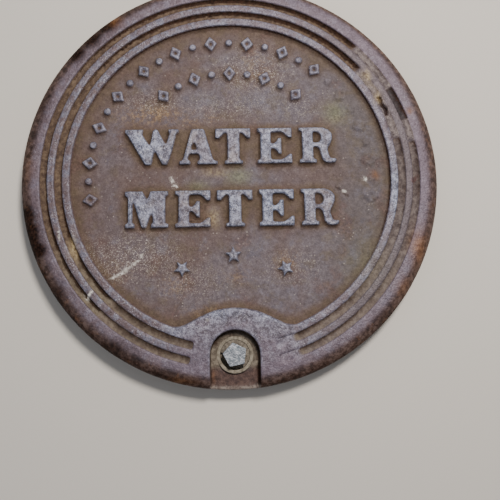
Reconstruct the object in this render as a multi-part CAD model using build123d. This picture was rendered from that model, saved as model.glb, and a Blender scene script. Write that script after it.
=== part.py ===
from build123d import *
import math
import os

# Round cast-iron cover of a water meter box, with a turning lock at its rim.
# Millimetres. The cover lies on its skirt, face up: z = 0 is the plane it rests on,
# x = y = 0 its middle, and the lock stands on the -Y side.

# The casting, seen from above: its widths from the outside in
lid_radius = 162.0          # widest point of the rim, a 12 3/4 inch cover
rim_width = 16.0            # to the outer groove, which lies over an 11 1/2 inch opening
outer_groove_width = 5.5
outer_ring_width = 5.5
inner_groove_width = 5.9
inner_ring_width = 5.7      # between the inner groove and the sunk field
groove_stop_angle = 13.6    # half angle about the lock that the grooves stay clear of

# The casting, in section
lid_height = 26.0
rim_roll_radius = 10.5      # quarter round between the rim's top and its side
rim_thickness = 14.0
rim_side_draft = 1.0        # the rim's side leans in by this at its foot
field_depth = 3.0
groove_depth = 2.6
relief_draft = 18.0         # slope of the field's and grooves' sides, in degrees
plate_thickness = 7.0       # under the sunk field
skirt_play = 2.5            # between the locating skirt and the frame's opening
skirt_wall = 7.0
skirt_draft = 1.2           # the skirt's wall is this much thinner at its foot, each side
skirt_gap_depth = 28.0      # the gap in the skirt that the dog swings in, along Y
fusing = 1.0                # how far a cast feature runs into the metal that carries it

# The ribs under the plate
rib_count = 6
rib_width = 7.0
rib_depth_middle = 10.0
rib_depth_skirt = 5.0
hub_radius = 17.0
hub_depth = 12.0

# The lock's place, its wrench pocket and the raised pad round it
lock_inset = 26.2           # from the widest point of the rim to the bolt's axis
pocket_radius = 18.4
pocket_depth = 8.5
pocket_draft = 5.0
pocket_floor_fillet = 1.6
pad_reach = 34.2            # from the bolt's axis to the pad's inner edge
pad_crown_radius = 55.0
pad_flank_angle = 26.6
pad_valley_radius = 13.7
pocket_wall = 6.5           # metal that stays round the pocket on the hidden side
ledge_thickness = 5.5
ledge_lip_round = 1.8       # the ledge's front edge is rounded over

# The lock
head_side_count = 5
head_point_to_flat = 17.1   # about 11/16 inch
head_turn = 28.5            # angle of one of its points from +X, in degrees
head_below_top = 0.8        # the head stays this far under the cover's face
head_chamfer = 0.5
collar_radius = 13.9
collar_hole_radius = 11.1
collar_rise = 2.0
collar_edge_round = 0.6
sleeve_radius = 12.6
sleeve_lip = 2.0            # the lip at the collar's foot that the head sits on
shank_radius = 7.0
running_clearance = 0.05
washer_thickness = 1.5
washer_radius = 10.8
washer_gap = 0.1
dog_hub_radius = 11.5
dog_foot = 1.5              # height of the dog's underside above the resting plane
dog_arm_thickness = 5.0
dog_arm_width = 14.0
dog_reach = 22.5
dog_nose_ramp = 1.6
dog_heel_width = 8.0
dog_heel_reach = 16.0
dog_pin_radius = 2.0
dog_pin_short = 0.5         # the pin ends this far inside the hub, each end
dog_pin_chamfer = 0.4
stop_size = 5.0
stop_lead = 1.0             # the stops stand this much further out than the heel's middle
stop_clearance = 0.35

# The tongue that hooks under the box frame, opposite the lock
tongue_width = 46.0
tongue_reach = 13.5         # past the skirt
tongue_thickness = 6.5
tongue_lead_height = 2.0    # the slope on its upper edge that finds the frame's flange
tongue_lead_length = 3.2

# Raised ornament on the field
relief_height = 2.4
stud_draft = 14.0
outer_row_inset = 14.5      # from the field's edge to the middle of the studs
outer_row_half_angle = 99.0
outer_row_count = 27
inner_row_inset = 40.0
inner_row_half_angle = 38.5
inner_row_count = 9
lozenge_height = 14.0
lozenge_width = 11.6
lozenge_eye = 0.38          # the hollow in its middle, as a share of the lozenge
lozenge_eye_depth = 1.5
pellet_radius = 3.3
star_point_count = 5
star_radius = 7.7
star_waist = 0.43           # the corners between the points, as a share of the star's radius
# x, y and the angle of the first point
star_places = [(-38.5, -70.9, 270.0), (0.3, -61.4, 92.0), (39.6, -72.0, 257.0)]

# Radii that follow from these
rim_flat_radius = lid_radius - rim_roll_radius
outer_groove_out = lid_radius - rim_width
outer_groove_in = outer_groove_out - outer_groove_width
inner_groove_out = outer_groove_in - outer_ring_width
inner_groove_in = inner_groove_out - inner_groove_width
field_radius = inner_groove_in - inner_ring_width
skirt_radius = outer_groove_out - skirt_play
lock_offset = lid_radius - lock_inset

# Heights that follow from these
rim_underside = lid_height - rim_thickness
field_top = lid_height - field_depth
plate_underside = field_top - plate_thickness
ledge_top = lid_height - pocket_depth
ledge_underside = ledge_top - ledge_thickness
head_seat = ledge_underside + sleeve_lip
hub_top = ledge_underside - washer_gap - washer_thickness - washer_gap
dog_pin_height = (hub_top - dog_foot) / 2       # the cross pin is at the middle of the dog's hub
lock_place = Location((0, -lock_offset, 0))


def ring_sector(inner, outer, depth):
    """Cutter for a groove: a sloping-sided ring that stops short of the lock's pad."""
    lean = depth * math.tan(math.radians(relief_draft))
    foot = lid_height - depth
    outline = Polyline(
        (inner - lean, 0, lid_height + depth),
        (outer + lean, 0, lid_height + depth),
        (outer - lean, 0, foot),
        (inner + lean, 0, foot),
        close=True,
    )
    section = make_face(outline)
    sweep = 360.0 - 2.0 * groove_stop_angle
    groove = revolve(section, Axis.Z, revolution_arc=sweep)
    return Rot(0, 0, -90.0 + groove_stop_angle) * groove


def field_outline():
    """The sunk field: a disc less the hump of the pad, with soft valleys beside it."""
    pad_top = -lock_offset + pad_reach
    crown_centre = pad_top - pad_crown_radius
    flank = math.radians(pad_flank_angle)
    shoulder_x = pad_crown_radius * math.sin(flank)
    shoulder_y = crown_centre + pad_crown_radius * math.cos(flank)
    foot_x = shoulder_x + field_radius * math.cos(flank)
    foot_y = shoulder_y - field_radius * math.sin(flank)
    hump = make_face(
        [
            ThreePointArc((-shoulder_x, shoulder_y), (0, pad_top), (shoulder_x, shoulder_y)),
            Line((shoulder_x, shoulder_y), (foot_x, foot_y)),
            Line((foot_x, foot_y), (-foot_x, foot_y)),
            Line((-foot_x, foot_y), (-shoulder_x, shoulder_y)),
        ]
    )
    field = Circle(field_radius) - hump
    valleys = field.vertices().filter_by(lambda v: abs(v.X) > shoulder_x + fusing)
    return fillet(valleys, pad_valley_radius)


def u_outline(radius):
    """A round-ended slot about the bolt's axis that runs out past the rim."""
    length = 2 * lock_inset
    slot = Circle(radius) + Pos(0, -length / 2) * Rectangle(2 * radius, length)
    return Pos(0, -lock_offset) * slot


def pocket_cutter():
    """The wrench pocket: sloping walls and a rounded foot, open at the rim."""
    floor_radius = pocket_radius - pocket_depth * math.tan(math.radians(pocket_draft))
    floor = Pos(0, 0, ledge_top) * u_outline(floor_radius)
    cutter = extrude(floor, pocket_depth + fusing, taper=-pocket_draft)
    return fillet(cutter.edges().group_by(Axis.Z)[0], pocket_floor_fillet)


def lip_cutter():
    """Rounds over the front edge of the pocket's floor, between the pocket's walls."""
    size = ledge_lip_round
    corner = Rectangle(2 * size, 2 * size, align=(Align.MIN, Align.MIN)) - Circle(size)
    section = Plane.XZ * Pos(lid_radius - size, ledge_top - size) * corner
    floor_radius = pocket_radius - pocket_depth * math.tan(math.radians(pocket_draft))
    between_walls = extrude(u_outline(floor_radius), lid_height)
    return revolve(section, Axis.Z) & between_walls


def lid_disc():
    """Plate, rim and skirt, turned about the middle."""
    widest_z = lid_height - rim_roll_radius
    roll_reach = rim_roll_radius * math.sin(math.radians(45))
    roll_middle = (rim_flat_radius + roll_reach, widest_z + roll_reach)
    side_foot = lid_radius - rim_side_draft
    skirt_inside = skirt_radius - skirt_wall
    top_edge = Line((0, lid_height), (rim_flat_radius, lid_height))
    roll = ThreePointArc((rim_flat_radius, lid_height), roll_middle, (lid_radius, widest_z))
    underside = Polyline(
        (lid_radius, widest_z),
        (side_foot, rim_underside),
        (skirt_radius, rim_underside),
        (skirt_radius - skirt_draft, 0),
        (skirt_inside + skirt_draft, 0),
        (skirt_inside, plate_underside),
        (0, plate_underside),
        (0, lid_height),
    )
    section = make_face(Plane.XZ * Curve([top_edge, roll] + underside.edges()))
    return revolve(section, Axis.Z)


def ribs():
    """Radial ribs that run from the hub to the skirt, shallower towards the skirt."""
    top = plate_underside + fusing
    reach = skirt_radius - skirt_wall + fusing
    side = make_face(
        Plane.XZ
        * Polyline(
            (0, top),
            (reach, top),
            (reach, plate_underside - rib_depth_skirt),
            (hub_radius, plate_underside - rib_depth_middle),
            (0, plate_underside - rib_depth_middle),
            close=True,
        )
    )
    rib = extrude(side, rib_width / 2, both=True)
    return [Rot(0, 0, 360.0 / rib_count * index) * rib for index in range(rib_count)]


def stops():
    """Two cast lugs that the dog's heel meets at the ends of its quarter turn."""
    middle = (dog_heel_reach + dog_hub_radius) / 2 + stop_lead
    side = dog_heel_width / 2 + stop_clearance + stop_size / 2
    height = ledge_underside + fusing - dog_foot
    lug = extrude(Pos(0, 0, dog_foot) * Rectangle(stop_size, stop_size), height)
    closed = Pos(side, middle, 0) * lug
    opened = Pos(-middle, -side, 0) * lug
    return lock_place * Compound([closed, opened])


def lozenge():
    outline = Polygon(
        (0, lozenge_height / 2),
        (-lozenge_width / 2, 0),
        (0, -lozenge_height / 2),
        (lozenge_width / 2, 0),
        align=None,
    )
    stud = extrude(outline, relief_height, taper=stud_draft)
    eye = extrude(Pos(0, 0, relief_height) * scale(outline, lozenge_eye), -lozenge_eye_depth)
    return stud - eye


def pellet():
    top_radius = pellet_radius - relief_height * math.tan(math.radians(stud_draft))
    return Pos(0, 0, relief_height / 2) * Cone(pellet_radius, top_radius, relief_height)


def star(turn):
    """A star whose first point is at this angle."""
    corners = []
    for index in range(2 * star_point_count):
        reach = star_radius if index % 2 == 0 else star_radius * star_waist
        angle = math.radians(turn + 180.0 / star_point_count * index)
        corners.append((reach * math.cos(angle), reach * math.sin(angle)))
    return extrude(make_face(Polyline(*corners, close=True)), relief_height, taper=stud_draft)


def row(radius, half_angle, count):
    """Lozenges and pellets by turns along an arc over the top of the field."""
    studs = []
    for index in range(count):
        angle = 90.0 - half_angle + 2 * half_angle * index / (count - 1)
        stud = lozenge() if index % 2 == 0 else pellet()
        place = Rot(0, 0, angle - 90.0) * Pos(0, radius, field_top)
        studs.append(place * stud)
    return studs


def make_lid_casting():
    body = lid_disc()
    body += Pos(0, 0, plate_underside - hub_depth / 2) * Cylinder(hub_radius, hub_depth)
    body += ribs()

    # Thick metal under the pocket, then the gap in the skirt that the dog swings in
    boss_floor = Pos(0, 0, ledge_underside) * u_outline(pocket_radius + pocket_wall)
    boss = extrude(boss_floor, plate_underside + fusing - ledge_underside)
    inside_skirt = extrude(Pos(0, 0, ledge_underside) * Circle(skirt_radius), lid_height)
    body += boss & inside_skirt
    gap_half = skirt_radius * math.sin(math.radians(groove_stop_angle))
    gap_floor = Pos(0, -skirt_radius) * Rectangle(2 * gap_half, skirt_gap_depth)
    body -= extrude(gap_floor, ledge_underside)
    body += stops()

    # The tongue, with a lead-in on its upper edge
    tongue_length = tongue_reach + skirt_wall / 2
    tongue = extrude(
        Pos(0, skirt_radius + tongue_reach - tongue_length / 2)
        * Rectangle(tongue_width, tongue_length),
        tongue_thickness,
    )
    lead = tongue.edges().filter_by(Axis.X).group_by(Axis.Y)[-1].sort_by(Axis.Z)[-1]
    tongue = chamfer(lead, tongue_lead_height, tongue_lead_length)
    body += tongue

    # The face
    sunk = extrude(Pos(0, 0, lid_height) * field_outline(), -field_depth, taper=relief_draft)
    body -= sunk
    body -= ring_sector(inner_groove_in, inner_groove_out, groove_depth)
    body -= ring_sector(outer_groove_in, outer_groove_out, groove_depth)
    body -= pocket_cutter()
    body -= lip_cutter()
    body -= Pos(0, -lock_offset, ledge_top) * Cylinder(sleeve_radius, 4 * ledge_thickness)

    outer_row_radius = field_radius - outer_row_inset
    inner_row_radius = field_radius - inner_row_inset
    for stud in row(outer_row_radius, outer_row_half_angle, outer_row_count):
        body += stud
    for stud in row(inner_row_radius, inner_row_half_angle, inner_row_count):
        body += stud
    for x, y, turn in star_places:
        body += Pos(x, y, field_top) * star(turn)
    return body


def make_bolt_collar():
    top = ledge_top + collar_rise
    flange = Pos(0, 0, ledge_top + collar_rise / 2) * Cylinder(collar_radius, collar_rise)
    upper = flange.edges().filter_by(GeomType.CIRCLE).sort_by(Axis.Z)[-1]
    flange = fillet(upper, collar_edge_round)
    sleeve_height = ledge_top - ledge_underside
    sleeve = Pos(0, 0, ledge_underside + sleeve_height / 2) * Cylinder(sleeve_radius, sleeve_height)
    bore = Pos(0, 0, (head_seat + top) / 2) * Cylinder(collar_hole_radius, top - head_seat)
    hole = Pos(0, 0, ledge_underside) * Cylinder(shank_radius + running_clearance, 4 * sleeve_lip)
    return lock_place * (flange + sleeve - bore - hole)


def make_lock_bolt():
    """Five-sided head with a turned chamfer on its points, and a round shank down to the dog."""
    head_radius = head_point_to_flat / (1 + math.cos(math.pi / head_side_count))
    foot = head_seat + running_clearance
    head_top = lid_height - head_below_top
    height = head_top - foot
    outline = RegularPolygon(head_radius, head_side_count, rotation=head_turn)
    head = extrude(Pos(0, 0, foot) * outline, height)
    reach = head_radius + height - head_chamfer
    head &= Pos(0, 0, (foot + head_top) / 2) * Cone(reach, reach - height, height)
    shank_length = foot - dog_foot
    shank = Pos(0, 0, dog_foot + shank_length / 2) * Cylinder(shank_radius, shank_length)
    pin_hole = Pos(0, 0, dog_foot + dog_pin_height) * Rot(0, 90, 0) * Cylinder(
        dog_pin_radius + running_clearance, 4 * shank_radius)
    return lock_place * (head + shank - pin_hole)


def make_thrust_washer():
    blank = Cylinder(washer_radius, washer_thickness)
    hole = Cylinder(shank_radius + running_clearance, 2 * washer_thickness)
    middle = ledge_underside - washer_gap - washer_thickness / 2
    return lock_place * Pos(0, 0, middle) * (blank - hole)


def make_latch_dog():
    half = dog_arm_width / 2
    arm_outline = Pos(0, -(dog_reach - half) / 2) * Rectangle(dog_arm_width, dog_reach - half)
    arm_outline += Pos(0, half - dog_reach) * Circle(half)
    heel_outline = Pos(0, dog_heel_reach / 2) * Rectangle(dog_heel_width, dog_heel_reach)
    plate = extrude(arm_outline + heel_outline, dog_arm_thickness)
    ramp_length = dog_reach - dog_hub_radius + fusing
    ramp = make_face(
        Polyline(
            (0, 0, dog_arm_thickness),
            (half + fusing, 0, dog_arm_thickness - dog_nose_ramp),
            (half + fusing, 0, dog_arm_thickness + fusing),
            (0, 0, dog_arm_thickness + fusing),
            close=True,
        )
    )
    plate -= Pos(0, -dog_hub_radius, 0) * extrude(ramp, ramp_length, dir=(0, -1, 0))
    hub_height = hub_top - dog_foot
    hub = Pos(0, 0, hub_height / 2) * Cylinder(dog_hub_radius, hub_height)
    hole = Cylinder(shank_radius + running_clearance, 4 * hub_height)
    pin_hole = Pos(0, 0, dog_pin_height) * Rot(0, 90, 0) * Cylinder(
        dog_pin_radius + running_clearance, 4 * dog_hub_radius)
    return lock_place * Pos(0, 0, dog_foot) * (plate + hub - hole - pin_hole)


def make_dog_pin():
    length = 2 * (dog_hub_radius - dog_pin_short)
    pin = Rot(0, 90, 0) * Cylinder(dog_pin_radius, length)
    pin = chamfer(pin.edges().filter_by(GeomType.CIRCLE), dog_pin_chamfer)
    return lock_place * Pos(0, 0, dog_foot + dog_pin_height) * pin


pieces = {
    "lid_casting": make_lid_casting(),
    "bolt_collar": make_bolt_collar(),
    "lock_bolt": make_lock_bolt(),
    "thrust_washer": make_thrust_washer(),
    "latch_dog": make_latch_dog(),
    "dog_pin": make_dog_pin(),
}

os.makedirs("parts", exist_ok=True)
for name, shape in pieces.items():
    export_step(shape, f"parts/{name}.step")
    print(name, len(shape.solids()), "solid", round(shape.volume / 1000, 2), "cm3")
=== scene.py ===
import math

import bmesh
import bpy
import numpy as np
from mathutils import Matrix, Vector


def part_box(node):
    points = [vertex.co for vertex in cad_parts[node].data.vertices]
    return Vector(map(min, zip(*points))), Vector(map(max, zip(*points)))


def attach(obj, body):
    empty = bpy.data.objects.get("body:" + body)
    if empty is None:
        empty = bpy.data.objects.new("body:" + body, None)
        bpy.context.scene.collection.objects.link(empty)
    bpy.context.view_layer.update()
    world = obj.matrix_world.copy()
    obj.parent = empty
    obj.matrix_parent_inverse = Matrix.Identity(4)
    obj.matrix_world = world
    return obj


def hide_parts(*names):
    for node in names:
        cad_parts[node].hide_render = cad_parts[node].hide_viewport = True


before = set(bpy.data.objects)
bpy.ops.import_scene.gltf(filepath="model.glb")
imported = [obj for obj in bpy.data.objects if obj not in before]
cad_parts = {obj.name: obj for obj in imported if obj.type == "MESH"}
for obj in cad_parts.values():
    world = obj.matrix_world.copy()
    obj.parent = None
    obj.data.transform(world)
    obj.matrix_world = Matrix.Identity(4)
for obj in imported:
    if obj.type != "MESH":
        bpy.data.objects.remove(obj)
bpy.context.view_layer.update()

mm = 0.001          # lengths below are in millimetres
scene = bpy.context.scene
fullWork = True


# Small tools

def linear(hexColour):
    # sRGB hex to the linear values that the shaders take
    parts = [int(hexColour[i:i + 2], 16) / 255 for i in (1, 3, 5)]
    return tuple(c / 12.92 if c <= 0.04045 else ((c + 0.055) / 1.055) ** 2.4 for c in parts) + (1.0,)


def addNode(tree, kind, settings):
    # a setting is a property of the node, or an input that takes a value or another node's output
    node = tree.nodes.new(kind)
    for key, value in settings.items():
        if isinstance(value, bpy.types.NodeSocket):
            tree.links.new(value, node.inputs[key])
        elif isinstance(key, int) or key in node.inputs:
            node.inputs[key].default_value = value
        else:
            setattr(node, key, value)
    return node


def meshObject(name, mesh):
    piece = bpy.data.objects.new(name, mesh)
    scene.collection.objects.link(piece)
    return piece


def baked(piece):
    # turns live modifiers, or a curve, into a plain mesh
    bpy.context.view_layer.update()
    graph = bpy.context.evaluated_depsgraph_get()
    mesh = bpy.data.meshes.new_from_object(piece.evaluated_get(graph))
    name = piece.name
    bpy.data.objects.remove(piece)
    return meshObject(name, mesh)


def joined(name, pieces):
    work = bmesh.new()
    for piece in pieces:
        work.from_mesh(piece.data)
        bpy.data.objects.remove(piece)
    mesh = bpy.data.meshes.new(name)
    work.to_mesh(mesh)
    work.free()
    return meshObject(name, mesh)


def copyOfNode(nodeName, pieceName):
    # a CAD node's mesh is loose triangles, so the copy is merged first
    work = bmesh.new()
    work.from_mesh(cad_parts[nodeName].data)
    bmesh.ops.remove_doubles(work, verts=work.verts, dist=0.002 * mm)
    mesh = bpy.data.meshes.new(pieceName)
    work.to_mesh(mesh)
    work.free()
    return meshObject(pieceName, mesh)


def placesOf(mesh):
    places = np.empty(len(mesh.vertices) * 3)
    mesh.vertices.foreach_get("co", places)
    return places.reshape(-1, 3) / mm


def setPlaces(mesh, places):
    mesh.vertices.foreach_set("co", (places * mm).ravel())
    mesh.update()


def settle(piece, body, material, node=None):
    piece.data.materials.clear()
    piece.data.materials.append(material)
    piece.data.shade_smooth()
    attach(piece, body)
    if node:
        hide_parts(node)


# Materials are built from these two steps

def blotches(tree, place, size, low, high, seed, detail=4.0, roughness=0.6):
    # soft-edged patches about this many millimetres across, from 0 to 1
    cloud = addNode(tree, "ShaderNodeTexNoise", {
        "noise_dimensions": "4D", "Vector": place, "W": seed, "Scale": 1 / (size * mm),
        "Detail": detail, "Roughness": roughness})
    return addNode(tree, "ShaderNodeMapRange", {
        "interpolation_type": "SMOOTHSTEP", "Value": cloud.outputs["Fac"],
        "From Min": low, "From Max": high}).outputs["Result"]


def grains(tree, place, spacing, reach, share):
    # scattered round grains, this far apart and this large, with only a share of them there
    cells = addNode(tree, "ShaderNodeTexVoronoi", {"Vector": place, "Scale": 1 / (spacing * mm)})
    dots = addNode(tree, "ShaderNodeMapRange", {
        "interpolation_type": "SMOOTHSTEP", "Value": cells.outputs["Distance"],
        "From Min": reach / spacing, "From Max": 0.3 * reach / spacing})
    kept = addNode(tree, "ShaderNodeMapRange", {
        "Value": cells.outputs["Color"], "From Min": 1.0 - share, "From Max": 1.05 - share})
    both = addNode(tree, "ShaderNodeMath", {
        "operation": "MULTIPLY", 0: dots.outputs[0], 1: kept.outputs[0]})
    return both.outputs[0]


def coat(tree, below, colours, mottle, where, strength=1.0):
    # lays a mottled coat over the colour below, where every mask given is on
    ramp = addNode(tree, "ShaderNodeValToRGB", {"Fac": mottle})
    elements = ramp.color_ramp.elements
    while len(elements) < len(colours):
        elements.new(0.5)
    for index, colour in enumerate(colours):
        elements[index].position = (index + 0.5) / len(colours)
        elements[index].color = linear(colour)
    cover = strength
    for mask in where:
        cover = addNode(tree, "ShaderNodeMath", {"operation": "MULTIPLY", 0: cover, 1: mask}).outputs[0]
    return addNode(tree, "ShaderNodeMix", {
        "data_type": "RGBA", 0: cover, 6: below, 7: ramp.outputs[0]}).outputs[2]


# Places that the years have marked, in millimetres: x, y, reach along x, reach along y, strength

spots = {
    "rust": [(-60, 50, 24, 7, 0.9), (-14, 47, 6, 4, 0.6), (22, 88, 12, 16, 0.45),
             (40, -66, 9, 7, 0.6), (-16, -104, 18, 5, 0.5), (-32, 44, 8, 4, 0.6),
             (48, -118, 12, 6, 0.4), (-86, -70, 12, 10, 0.3), (-45, -84, 10, 7, 0.5),
             (2, -78, 10, 6, 0.4)],
    "bare": [(-60, -1, 40, 7, 0.8), (60, -1, 34, 8, 0.9), (0, -46, 60, 5, 0.5), (74, 56, 12, 12, 0.5)],
    "lilac": [(-18, 60, 20, 12, 1.0), (18, 61, 22, 10, 1.0), (-94, 12, 10, 24, 0.6),
              (4, -62, 26, 12, 0.5), (62, -52, 20, 14, 0.5), (-8, -6, 14, 5, 0.2),
              (28, -3, 16, 5, 0.2), (66, 70, 16, 10, 0.35), (-60, -88, 20, 9, 0.3),
              (20, -84, 26, 9, 0.5), (40, 52, 22, 8, 0.5)],
    "salt": [(20, 84, 26, 18, 0.9), (-76, -62, 34, 16, 1.0), (-60, 60, 22, 9, 0.8),
             (44, -72, 22, 14, 0.6), (-30, -80, 24, 14, 0.6), (56, 56, 20, 10, 0.6),
             (0, 56, 40, 12, 0.6), (-45, -4, 3, 6, 1.0)],
    "scab": [(-150, -50, 8, 20, 1.0), (-132, -90, 8, 12, 0.8), (-97, 124, 9, 6, 1.4),
             (-109, 113, 8, 7, 1.4), (-120, 101, 7, 8, 1.2), (-146, 62, 5, 14, 0.6),
             (112, -112, 7, 7, 0.5), (-96, -130, 18, 8, 0.8), (-155, -30, 6, 8, 2.0),
             (-152, -43, 6, 8, 2.5), (-146, -55, 6, 5, 2.5), (-50, -152, 14, 4, 0.6)],
    "orange": [(-90, 128, 5, 5, 0.8), (-154, 8, 5, 12, 0.25), (141, -58, 6, 12, 0.9),
               (128, -88, 6, 8, 0.4), (141, 50, 2.5, 3, 0.8), (-42, -154, 12, 3, 0.5),
               (112, -1, 3.5, 3.5, 0.8), (-16.4, -152, 1.0, 5, 0.5)],
    "lichen": [(6, 0, 9, 6, 0.9), (-25, -7, 8, 4, 0.6), (82, 50, 9, 9, 0.9), (100, -68, 16, 18, 0.3)],
    "yellow": [(-120, -53, 2.5, 7, 1.0), (-14, -32, 4, 7, 0.6), (-13, 3, 10, 3, 0.4),
               (109, 79, 2.5, 5, 0.8), (116, 61, 2.5, 5, 0.8), (-118, -58, 2.5, 4, 0.8)],
    "redSpot": [(140.8, -6, 1.6, 1.6, 1.0)],
    # the blue at (30, -106) and (-14, -104) lights the pad's top edge: a painted highlight
    "blue": [(-66, 24, 16, 14, 0.7), (36, -24, 18, 16, 1.0), (-1, -24, 12, 14, 0.6),
             (30, 24, 14, 14, 0.5), (66, 24, 12, 14, 0.5), (-46, -118, 12, 8, 0.5),
             (30, -106, 16, 5, 0.7), (-14, -104, 18, 5, 0.6), (-38.5, -70.9, 7, 7, 0.3),
             (0.3, -61.4, 7, 7, 0.4), (39.6, -72, 7, 7, 0.3), (152, 0, 7, 60, 0.15),
             (126, -20, 4, 26, 0.8), (-70, -26, 12, 12, 0.6)],
    # the purple at (-34, -136) and (34, -140) darkens the pad's lower sides: painted shade
    "purple": [(150, 10, 10, 60, 0.95), (128, 86, 16, 22, 0.95), (104, 112, 26, 24, 0.9),
               (76, 134, 24, 16, 0.8), (20, 150, 70, 7, 0.7), (-120, 90, 12, 16, 0.5),
               (22, -128, 30, 14, 0.3), (-34, -136, 16, 16, 0.8), (34, -140, 16, 14, 0.8),
               (0, -118, 20, 5, 0.5)],
}
# from x, y to x, y, width
scratches = [
    (-92.5, -77.5, -84, -74, 0.8), (-84, -74, -78, -68.5, 1.1), (-76, -67.5, -71.5, -64.5, 0.7),
    (-70.5, -61.5, -68, -59.5, 0.6), (-109, -92, -105, -87, 1.1), (-46.5, -1, -45.5, -4, 0.9),
    (-44, -6, -42, -7, 0.7), (124.2, 73.4, 125.2, 72.2, 1.0), (86.5, -13, 87.5, -13.4, 1.1),
    (-19.4, -109, -18.2, -109, 0.9), (103, -3, 104, -4, 1.3), (-131.3, -39, -130.3, -41.4, 0.6),
    (-130.8, -44, -128.6, -48, 0.7),
]
cracks = [
    (116, 87.5, 120, 81.5, 0.9), (120, 81.5, 124.4, 74, 1.0), (80, -10, 84, -11.5, 0.7),
    (87, -15, 90, -17, 0.8),
]
shapeMarks = [
    "raised", "rubbed", "words", "pad", "edge", "open", "halo", "paintedShade", "groove", "paleSilt",
    "filling", "pit", "west", "east", "secondRing", "rim", "pocketSilt", "pocketRust", "lip",
    "rimSide", "under", "scratch", "crack",
]
surfaceMarks = shapeMarks + list(spots)


# Grey iron, sand cast, decades out of doors. To the eye it is olive-brown rust round everything that
# stands up, lilac grey with a pale salt of grains in the open, rubbed lilac on the rings and letters,
# silt in the grooves and dark scabs at the rim.

castTone = {
    "brown": ["#54433f", "#66534f", "#77655f"],
    "lilac": ["#565058", "#6d6771", "#8a858f"],
    "halo": ["#46392a", "#5a4a37", "#6e5d48"],
    "rust": ["#6b513a", "#8b6c4c", "#b5966e"],
    "west": ["#4e3b35", "#604b45", "#735e57"],
    "east": ["#4f4849", "#605859", "#736b6c"],
    "ring": ["#56464c", "#71656f", "#8f8592"],
    "letter": ["#4f4a55", "#757180", "#9d9aab"],
    "tan": ["#66564f", "#85756d", "#a3958c"],
    "purple": ["#54464f", "#6e606d", "#887a88"],
    "secondRing": ["#493f42", "#62575b", "#7b7075"],
    "blue": ["#50566b", "#7b849e", "#afb9d3"],
    "redBrown": ["#472f2b", "#62463f", "#7a5d56"],
    "paleGrain": ["#a0958f", "#d2c8c0"],
    "olive": ["#594d3c", "#72644e"],
    "slate": ["#5c5a6a", "#7d7b8c"],
    "whiteGrain": ["#b7b5c2", "#dfdee8"],
    "darkGrain": ["#2c2122", "#453839"],
    "scratch": ["#c9c3bc", "#f3efe9"],
    "silt": ["#463529", "#604d3d", "#776450"],
    "paleSilt": ["#6d6252", "#8b8170"],
    # foot: black for the painted shade at the foot of walls, and for the cracks
    "foot": ["#20120c", "#38231a"],
    "rimSide": ["#33231e", "#513c35", "#6c5852"],
    "scab": ["#120805", "#22130e", "#3a261e"],
    "orange": ["#6e4526", "#97683a"],
    "lichen": ["#666a50", "#8f9273"],
    "yellow": ["#8a7352", "#cdb88c"],
    "redSpot": ["#4a1c14", "#6a2c20"],
    "filling": ["#4d4242", "#655957", "#7c706c"],
    "pit": ["#262022", "#383134", "#4b4346"],
    "pocketSilt": ["#5f5549", "#7a7063", "#908677"],
    "pocketRust": ["#3c2924", "#513b35", "#644d45"],
    # lip: wear on the pocket's front lip, with a painted highlight where the key light catches it
    "lip": ["#776a63", "#a3978f"],
    "under": ["#3a2a23", "#5a4236", "#6d5344"],
}


castClouds = {
    # size in millimetres, low, high, seed, then detail and roughness where they aren't the usual
    "mottle": (4, 0.3, 0.7, 7.7, 4, 0.8),
    "soft": (4, 0.15, 0.85, 1.2, 5, 0.95),
    "fine": (1.6, 0.3, 0.7, 2.9, 2, 0.6),
    "darkSpots": (1.5, 0.55, 0.68, 3.1, 2, 0.6),
    "openCloud": (45, 0.34, 0.6, 3.4, 3),
    "oliveCloud": (10, 0.48, 0.64, 7.2, 5, 0.7),
    "slateCloud": (12, 0.5, 0.66, 9.4, 5, 0.7),
    "haloCloud": (7, 0.36, 0.6, 8.3),
    "rustCloud": (24, 0.54, 0.66, 11.0),
    "rustGrain": (3.0, 0.4, 0.6, 4.2),
    "saltCloud": (20, 0.38, 0.6, 5.5),
    "brownCloud": (14, 0.44, 0.6, 6.1),
    "worn": (7, 0.48, 0.62, 12.5, 3),
    "tanCloud": (9, 0.48, 0.6, 4.8, 3),
    "padCloud": (10, 0.46, 0.62, 2.6, 3),
    "ringGrain": (9, 0.44, 0.6, 9.9),
    "rimPatch": (12, 0.48, 0.6, 1.7),
    "orangePatch": (8, 0.56, 0.66, 2.2),
    "broken": (1.6, 0.36, 0.46, 6.6, 2),
}
castGrains = {
    # spacing in millimetres, reach, share that is there
    "paleSpots": (1.05, 0.56, 0.7),
    "fewSpots": (2.3, 0.75, 0.3),
}
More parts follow.
